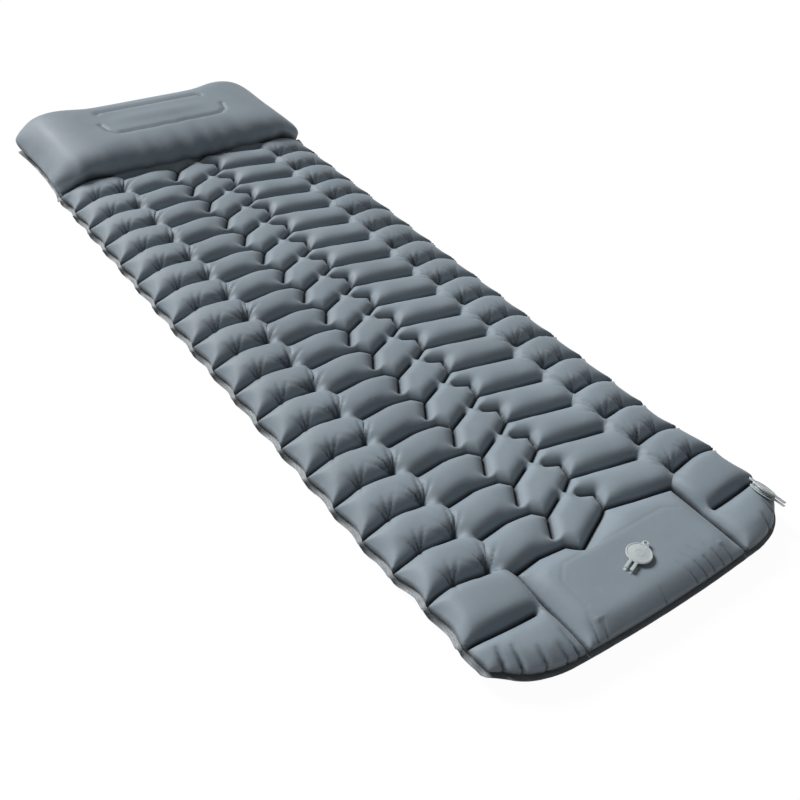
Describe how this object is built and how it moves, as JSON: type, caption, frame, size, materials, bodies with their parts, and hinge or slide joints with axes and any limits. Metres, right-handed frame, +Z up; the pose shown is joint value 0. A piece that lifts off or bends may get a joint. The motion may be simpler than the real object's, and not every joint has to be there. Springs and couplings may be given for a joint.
{
  "type": "inflatable sleeping pad",
  "caption": "Inflated air mattress of welded grey fabric cells with a raised pillow, a foam foot pump and capped air valves.",
  "frame": {"origin": "centre of the footprint, on the floor", "axes": "+X across the pad, +Y from the pump end to the pillow, +Z up"},
  "size_m": [0.7, 2, 0.1061],
  "materials": {
    "pad_fabric": "coated nylon, soft satin",
    "valve_plastic": "soft moulded",
    "flap_rubber": "thin silicone",
    "pump_foam": "open-cell foam"
  },
  "bodies": {
    "mat": {"bottom_sheet": "pad_fabric", "top_sheet": "pad_fabric", "pillow_panel": "pad_fabric", "pump_floor": "pad_fabric", "pump_skirt": "pad_fabric", "pump_foam": "pump_foam", "transfer_seat": "valve_plastic", "corner_patch": "valve_plastic", "corner_collar": "valve_plastic", "corner_seat": "valve_plastic", "corner_leash": "valve_plastic"},
    "pump_top": {"pump_panel": "pad_fabric", "intake_patch": "valve_plastic", "intake_collar": "valve_plastic", "intake_seat": "valve_plastic", "intake_leash": "valve_plastic"},
    "intake_cap": {"intake_cap": "valve_plastic"},
    "intake_flap": {"intake_flap": "flap_rubber"},
    "transfer_flap": {"transfer_flap": "flap_rubber"},
    "corner_cap": {"corner_cap": "valve_plastic"},
    "corner_flap": {"corner_flap": "flap_rubber"}
  },
  "joints": [
    {"name": "pump_press", "type": "slide", "parent": "mat", "child": "pump_top", "axis": [0, 0, -1], "range_m": [0, 0.014], "stiffness_N_per_m": 2500, "deforming": ["pump_foam", "pump_skirt"]},
    {"name": "intake_cap_hinge", "type": "hinge", "parent": "pump_top", "child": "intake_cap", "pos_m": [-0.03971, -0.92067, 0.0668], "axis": [0.3256, -0.9455, 0], "range_deg": [0, 120]},
    {"name": "intake_flap_hinge", "type": "hinge", "parent": "pump_top", "child": "intake_flap", "pos_m": [-0.0104, -0.91058, 0.0555], "axis": [-0.3256, 0.9455, 0], "range_deg": [0, 25], "stiffness_Nm_per_rad": 0.003, "springref_deg": -2.86},
    {"name": "transfer_flap_hinge", "type": "hinge", "parent": "mat", "child": "transfer_flap", "pos_m": [0.064, -0.907, 0.0281], "axis": [0, 1, 0], "range_deg": [0, 25], "stiffness_Nm_per_rad": 0.003, "springref_deg": -2.86},
    {"name": "corner_cap_hinge", "type": "hinge", "parent": "mat", "child": "corner_cap", "pos_m": [0.3242, -0.95936, 0.05386], "axis": [0.8352, 0.1736, -0.5219], "range_deg": [0, 120]},
    {"name": "corner_flap_hinge", "type": "hinge", "parent": "mat", "child": "corner_flap", "pos_m": [0.31365, -0.92883, 0.04713], "axis": [-0.8352, -0.1736, 0.5219], "range_deg": [0, 25], "stiffness_Nm_per_rad": 0.003, "springref_deg": -2.86}
  ]
}
